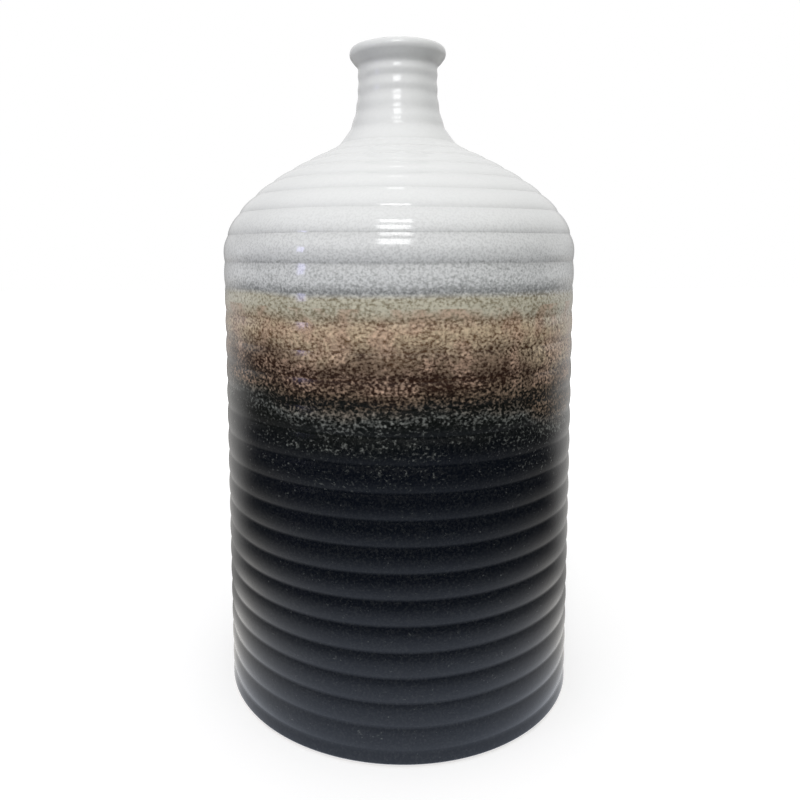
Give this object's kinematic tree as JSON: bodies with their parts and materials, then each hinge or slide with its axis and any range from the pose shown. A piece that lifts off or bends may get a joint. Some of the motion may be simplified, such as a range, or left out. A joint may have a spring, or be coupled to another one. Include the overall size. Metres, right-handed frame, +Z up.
{
  "type": "jug vase",
  "caption": "Tall round stoneware jug vase with a ribbed straight body, domed shoulder, short narrow neck and flared lip, in a reactive glaze that fades from charcoal through brown to white.",
  "frame": {"origin": "on the vase's axis, in the plane of the pads' undersides, where it stands on the table", "axes": "+Z up along the vase's axis towards the mouth; the vase is round, so +X and +Y only fix where the pads lie, at 45 degrees to both"},
  "size_m": [0.2, 0.2, 0.3639],
  "materials": {
    "charcoal_glaze": "satin charcoal glaze, browner and speckled towards its upper rim",
    "speckled_glaze": "glossy white glaze with fine grey specks",
    "white_glaze": "glossy white glaze",
    "pad_felt": "dense matt felt"
  },
  "bodies": {
    "root": {"lower_body": "charcoal_glaze", "shoulder": "speckled_glaze", "neck": "white_glaze", "foot_pad_1": "pad_felt", "foot_pad_2": "pad_felt", "foot_pad_3": "pad_felt", "foot_pad_4": "pad_felt"}
  },
  "joints": []
}
